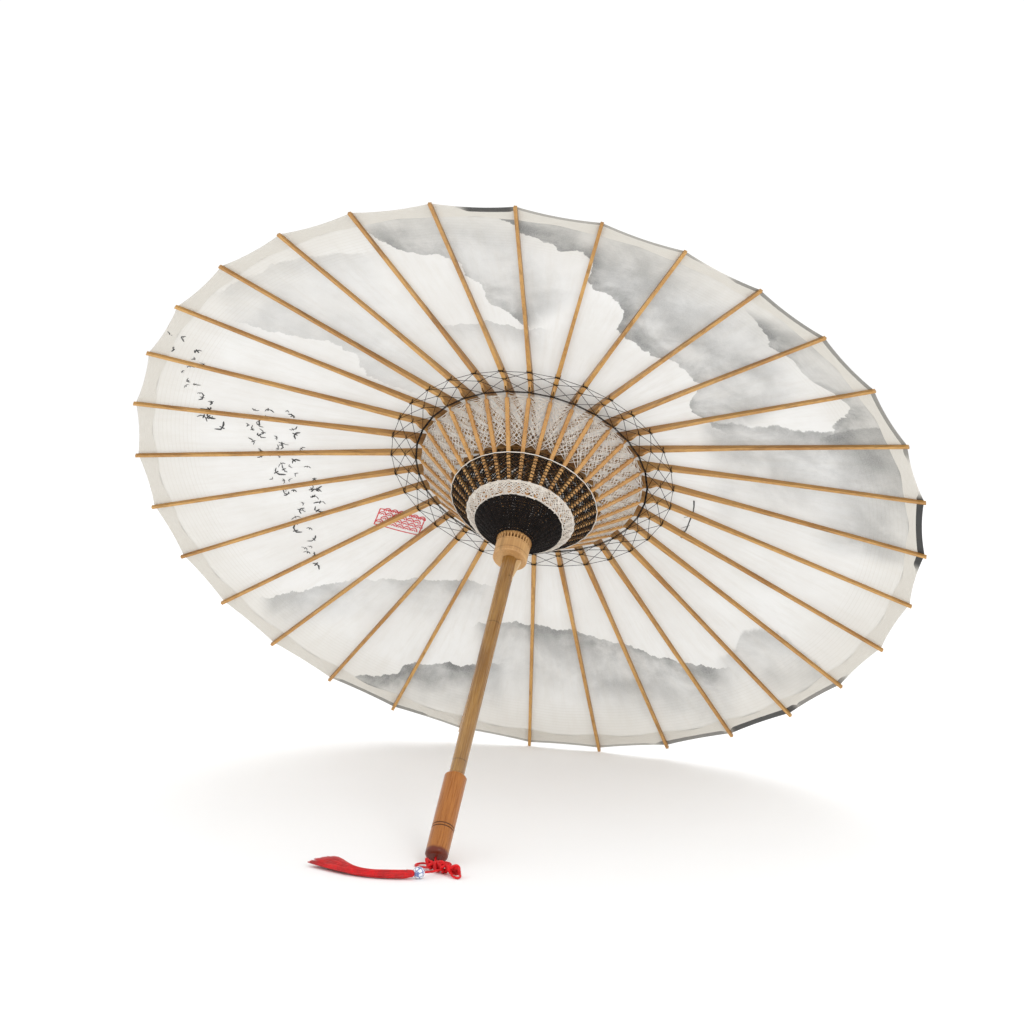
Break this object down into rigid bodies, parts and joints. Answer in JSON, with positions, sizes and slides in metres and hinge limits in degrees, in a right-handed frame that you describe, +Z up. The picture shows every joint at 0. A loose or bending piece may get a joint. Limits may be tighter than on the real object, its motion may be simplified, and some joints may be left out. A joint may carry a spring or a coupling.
{
  "type": "oil paper umbrella",
  "caption": "Open paper umbrella with bamboo ribs, thread nets, a sliding runner and a turned grip with a red tassel.",
  "frame": {"origin": "middle of the footprint of the open umbrella as it lies on the floor, on its grip's end and its two lowest rib tips, without the tassel", "axes": "+Z up; the pole lies in the YZ plane and rises towards +Y from the grip's end to the cap; +X is across, to the right of someone looking along +Y"},
  "size_m": [0.8362, 0.6889, 0.6184],
  "materials": {
    "bamboo_pole": "satin, lacquered bamboo",
    "bamboo_rib": "satin, split bamboo",
    "bamboo_stretcher": "satin, split bamboo",
    "bamboo_sliver": "satin, pale bamboo",
    "turned_wood": "satin, turned pale wood",
    "grip_wood": "gloss, lacquered wood",
    "cap_wood": "gloss, dark lacquered wood",
    "black_thread": "matt cotton thread",
    "white_thread": "matt cotton thread",
    "oiled_paper": "satin, oiled paper",
    "band_paper": "satin, inked oiled paper",
    "red_silk": "silky thread",
    "porcelain": "gloss, blue and white glaze"
  },
  "bodies": {
    "pole": {"pole": "bamboo_pole", "grip": "grip_wood", "crown": "turned_wood", "crown_thread": "black_thread", "cap": "cap_wood", "catch_pin": "bamboo_pole", "canopy": "oiled_paper", "rim_band": "band_paper", "outer_net": "black_thread", "joint_thread": "black_thread", "joint_ring": "black_thread", "tassel_cord": "red_silk", "tassel_knot": "red_silk", "tassel_bead": "porcelain", "tassel_skirt": "red_silk"},
    "runner": {"runner": "turned_wood", "runner_thread": "black_thread", "stretchers": "bamboo_stretcher", "black_net": "black_thread", "white_band": "white_thread", "dark_net": "black_thread", "white_net": "white_thread"},
    "catch": {"catch": "bamboo_sliver"},
    "rib_01": {"rib_01": "bamboo_rib"},
    "rib_02": {"rib_02": "bamboo_rib"},
    "rib_03": {"rib_03": "bamboo_rib"},
    "rib_04": {"rib_04": "bamboo_rib"},
    "rib_05": {"rib_05": "bamboo_rib"},
    "rib_06": {"rib_06": "bamboo_rib"},
    "rib_07": {"rib_07": "bamboo_rib"},
    "rib_08": {"rib_08": "bamboo_rib"},
    "rib_09": {"rib_09": "bamboo_rib"},
    "rib_10": {"rib_10": "bamboo_rib"},
    "rib_11": {"rib_11": "bamboo_rib"},
    "rib_12": {"rib_12": "bamboo_rib"},
    "rib_13": {"rib_13": "bamboo_rib"},
    "rib_14": {"rib_14": "bamboo_rib"},
    "rib_15": {"rib_15": "bamboo_rib"},
    "rib_16": {"rib_16": "bamboo_rib"},
    "rib_17": {"rib_17": "bamboo_rib"},
    "rib_18": {"rib_18": "bamboo_rib"},
    "rib_19": {"rib_19": "bamboo_rib"},
    "rib_20": {"rib_20": "bamboo_rib"},
    "rib_21": {"rib_21": "bamboo_rib"},
    "rib_22": {"rib_22": "bamboo_rib"},
    "rib_23": {"rib_23": "bamboo_rib"},
    "rib_24": {"rib_24": "bamboo_rib"},
    "rib_25": {"rib_25": "bamboo_rib"},
    "rib_26": {"rib_26": "bamboo_rib"},
    "rib_27": {"rib_27": "bamboo_rib"},
    "rib_28": {"rib_28": "bamboo_rib"},
    "rib_29": {"rib_29": "bamboo_rib"},
    "rib_30": {"rib_30": "bamboo_rib"},
    "rib_31": {"rib_31": "bamboo_rib"},
    "rib_32": {"rib_32": "bamboo_rib"}
  },
  "joints": [
    {"name": "runner_slide", "type": "slide", "parent": "pole", "child": "runner", "axis": [0, -0.7371, -0.6758], "range_m": [0, 0.1265], "deforming": ["stretchers", "black_net", "white_band", "dark_net", "white_net", "joint_thread", "joint_ring", "outer_net", "canopy", "rim_band"]},
    {"name": "rib_01_fold", "type": "hinge", "parent": "pole", "child": "rib_01", "pos_m": [0.00171, 0.07114, 0.37409], "axis": [0.9952, 0.0662, -0.0722], "range_deg": [0, 74.05]},
    {"name": "rib_02_fold", "type": "hinge", "parent": "pole", "child": "rib_02", "pos_m": [0.00508, 0.0716, 0.3736], "axis": [0.9569, 0.1962, -0.214], "range_deg": [0, 74.05]},
    {"name": "rib_03_fold", "type": "hinge", "parent": "pole", "child": "rib_03", "pos_m": [0.00825, 0.07248, 0.37263], "axis": [0.8819, 0.3186, -0.3475], "range_deg": [0, 74.05]},
    {"name": "rib_04_fold", "type": "hinge", "parent": "pole", "child": "rib_04", "pos_m": [0.0111, 0.07377, 0.37122], "axis": [0.773, 0.4287, -0.4676], "range_deg": [0, 74.05]},
    {"name": "rib_05_fold", "type": "hinge", "parent": "pole", "child": "rib_05", "pos_m": [0.01353, 0.07541, 0.36943], "axis": [0.6344, 0.5224, -0.5698], "range_deg": [0, 74.05]},
    {"name": "rib_06_fold", "type": "hinge", "parent": "pole", "child": "rib_06", "pos_m": [0.01543, 0.07734, 0.36733], "axis": [0.4714, 0.596, -0.6501], "range_deg": [0, 74.05]},
    {"name": "rib_07_fold", "type": "hinge", "parent": "pole", "child": "rib_07", "pos_m": [0.01675, 0.07948, 0.365], "axis": [0.2903, 0.6467, -0.7053], "range_deg": [0, 74.05]},
    {"name": "rib_08_fold", "type": "hinge", "parent": "pole", "child": "rib_08", "pos_m": [0.01742, 0.08175, 0.36251], "axis": [0.098, 0.6725, -0.7335], "range_deg": [0, 74.05]},
    {"name": "rib_09_fold", "type": "hinge", "parent": "pole", "child": "rib_09", "pos_m": [0.01742, 0.08407, 0.35999], "axis": [-0.098, 0.6725, -0.7335], "range_deg": [0, 74.05]},
    {"name": "rib_10_fold", "type": "hinge", "parent": "pole", "child": "rib_10", "pos_m": [0.01675, 0.08635, 0.35751], "axis": [-0.2903, 0.6467, -0.7053], "range_deg": [0, 74.05]},
    {"name": "rib_11_fold", "type": "hinge", "parent": "pole", "child": "rib_11", "pos_m": [0.01543, 0.08849, 0.35517], "axis": [-0.4714, 0.596, -0.6501], "range_deg": [0, 74.05]},
    {"name": "rib_12_fold", "type": "hinge", "parent": "pole", "child": "rib_12", "pos_m": [0.01353, 0.09042, 0.35307], "axis": [-0.6344, 0.5224, -0.5698], "range_deg": [0, 74.05]},
    {"name": "rib_13_fold", "type": "hinge", "parent": "pole", "child": "rib_13", "pos_m": [0.0111, 0.09206, 0.35128], "axis": [-0.773, 0.4287, -0.4676], "range_deg": [0, 74.05]},
    {"name": "rib_14_fold", "type": "hinge", "parent": "pole", "child": "rib_14", "pos_m": [0.00825, 0.09334, 0.34987], "axis": [-0.8819, 0.3186, -0.3475], "range_deg": [0, 74.05]},
    {"name": "rib_15_fold", "type": "hinge", "parent": "pole", "child": "rib_15", "pos_m": [0.00508, 0.09423, 0.34891], "axis": [-0.9569, 0.1962, -0.214], "range_deg": [0, 74.05]},
    {"name": "rib_16_fold", "type": "hinge", "parent": "pole", "child": "rib_16", "pos_m": [0.00171, 0.09468, 0.34841], "axis": [-0.9952, 0.0662, -0.0722], "range_deg": [0, 74.05]},
    {"name": "rib_17_fold", "type": "hinge", "parent": "pole", "child": "rib_17", "pos_m": [-0.00171, 0.09468, 0.34841], "axis": [-0.9952, -0.0662, 0.0722], "range_deg": [0, 74.05]},
    {"name": "rib_18_fold", "type": "hinge", "parent": "pole", "child": "rib_18", "pos_m": [-0.00508, 0.09423, 0.34891], "axis": [-0.9569, -0.1962, 0.214], "range_deg": [0, 74.05]},
    {"name": "rib_19_fold", "type": "hinge", "parent": "pole", "child": "rib_19", "pos_m": [-0.00825, 0.09334, 0.34987], "axis": [-0.8819, -0.3186, 0.3475], "range_deg": [0, 74.05]},
    {"name": "rib_20_fold", "type": "hinge", "parent": "pole", "child": "rib_20", "pos_m": [-0.0111, 0.09206, 0.35128], "axis": [-0.773, -0.4287, 0.4676], "range_deg": [0, 74.05]},
    {"name": "rib_21_fold", "type": "hinge", "parent": "pole", "child": "rib_21", "pos_m": [-0.01353, 0.09042, 0.35307], "axis": [-0.6344, -0.5224, 0.5698], "range_deg": [0, 74.05]},
    {"name": "rib_22_fold", "type": "hinge", "parent": "pole", "child": "rib_22", "pos_m": [-0.01543, 0.08849, 0.35517], "axis": [-0.4714, -0.596, 0.6501], "range_deg": [0, 74.05]},
    {"name": "rib_23_fold", "type": "hinge", "parent": "pole", "child": "rib_23", "pos_m": [-0.01675, 0.08635, 0.35751], "axis": [-0.2903, -0.6467, 0.7053], "range_deg": [0, 74.05]},
    {"name": "rib_24_fold", "type": "hinge", "parent": "pole", "child": "rib_24", "pos_m": [-0.01742, 0.08407, 0.35999], "axis": [-0.098, -0.6725, 0.7335], "range_deg": [0, 74.05]},
    {"name": "rib_25_fold", "type": "hinge", "parent": "pole", "child": "rib_25", "pos_m": [-0.01742, 0.08175, 0.36251], "axis": [0.098, -0.6725, 0.7335], "range_deg": [0, 74.05]},
    {"name": "rib_26_fold", "type": "hinge", "parent": "pole", "child": "rib_26", "pos_m": [-0.01675, 0.07948, 0.365], "axis": [0.2903, -0.6467, 0.7053], "range_deg": [0, 74.05]},
    {"name": "rib_27_fold", "type": "hinge", "parent": "pole", "child": "rib_27", "pos_m": [-0.01543, 0.07734, 0.36733], "axis": [0.4714, -0.596, 0.6501], "range_deg": [0, 74.05]},
    {"name": "rib_28_fold", "type": "hinge", "parent": "pole", "child": "rib_28", "pos_m": [-0.01353, 0.07541, 0.36943], "axis": [0.6344, -0.5224, 0.5698], "range_deg": [0, 74.05]},
    {"name": "rib_29_fold", "type": "hinge", "parent": "pole", "child": "rib_29", "pos_m": [-0.0111, 0.07377, 0.37122], "axis": [0.773, -0.4287, 0.4676], "range_deg": [0, 74.05]},
    {"name": "rib_30_fold", "type": "hinge", "parent": "pole", "child": "rib_30", "pos_m": [-0.00825, 0.07248, 0.37263], "axis": [0.8819, -0.3186, 0.3475], "range_deg": [0, 74.05]},
    {"name": "rib_31_fold", "type": "hinge", "parent": "pole", "child": "rib_31", "pos_m": [-0.00508, 0.0716, 0.3736], "axis": [0.9569, -0.1962, 0.214], "range_deg": [0, 74.05]},
    {"name": "rib_32_fold", "type": "hinge", "parent": "pole", "child": "rib_32", "pos_m": [-0.00171, 0.07114, 0.37409], "axis": [0.9952, -0.0662, 0.0722], "range_deg": [0, 74.05]},
    {"name": "catch_press", "type": "hinge", "parent": "pole", "child": "catch", "pos_m": [0.005, -0.04829, 0.24096], "axis": [0, -0.6758, 0.7371], "range_deg": [0, 12], "stiffness_Nm_per_rad": 0.2, "deforming": ["catch"]}
  ],
  "couplings": [
    {"joint": "rib_01_fold", "follows": "runner_slide", "rad_per_m": 10.21},
    {"joint": "rib_02_fold", "follows": "runner_slide", "rad_per_m": 10.21},
    {"joint": "rib_03_fold", "follows": "runner_slide", "rad_per_m": 10.21},
    {"joint": "rib_04_fold", "follows": "runner_slide", "rad_per_m": 10.21},
    {"joint": "rib_05_fold", "follows": "runner_slide", "rad_per_m": 10.21},
    {"joint": "rib_06_fold", "follows": "runner_slide", "rad_per_m": 10.21},
    {"joint": "rib_07_fold", "follows": "runner_slide", "rad_per_m": 10.21},
    {"joint": "rib_08_fold", "follows": "runner_slide", "rad_per_m": 10.21},
    {"joint": "rib_09_fold", "follows": "runner_slide", "rad_per_m": 10.21},
    {"joint": "rib_10_fold", "follows": "runner_slide", "rad_per_m": 10.21},
    {"joint": "rib_11_fold", "follows": "runner_slide", "rad_per_m": 10.21},
    {"joint": "rib_12_fold", "follows": "runner_slide", "rad_per_m": 10.21},
    {"joint": "rib_13_fold", "follows": "runner_slide", "rad_per_m": 10.21},
    {"joint": "rib_14_fold", "follows": "runner_slide", "rad_per_m": 10.21},
    {"joint": "rib_15_fold", "follows": "runner_slide", "rad_per_m": 10.21},
    {"joint": "rib_16_fold", "follows": "runner_slide", "rad_per_m": 10.21},
    {"joint": "rib_17_fold", "follows": "runner_slide", "rad_per_m": 10.21},
    {"joint": "rib_18_fold", "follows": "runner_slide", "rad_per_m": 10.21},
    {"joint": "rib_19_fold", "follows": "runner_slide", "rad_per_m": 10.21},
    {"joint": "rib_20_fold", "follows": "runner_slide", "rad_per_m": 10.21},
    {"joint": "rib_21_fold", "follows": "runner_slide", "rad_per_m": 10.21},
    {"joint": "rib_22_fold", "follows": "runner_slide", "rad_per_m": 10.21},
    {"joint": "rib_23_fold", "follows": "runner_slide", "rad_per_m": 10.21},
    {"joint": "rib_24_fold", "follows": "runner_slide", "rad_per_m": 10.21},
    {"joint": "rib_25_fold", "follows": "runner_slide", "rad_per_m": 10.21},
    {"joint": "rib_26_fold", "follows": "runner_slide", "rad_per_m": 10.21},
    {"joint": "rib_27_fold", "follows": "runner_slide", "rad_per_m": 10.21},
    {"joint": "rib_28_fold", "follows": "runner_slide", "rad_per_m": 10.21},
    {"joint": "rib_29_fold", "follows": "runner_slide", "rad_per_m": 10.21},
    {"joint": "rib_30_fold", "follows": "runner_slide", "rad_per_m": 10.21},
    {"joint": "rib_31_fold", "follows": "runner_slide", "rad_per_m": 10.21},
    {"joint": "rib_32_fold", "follows": "runner_slide", "rad_per_m": 10.21}
  ]
}
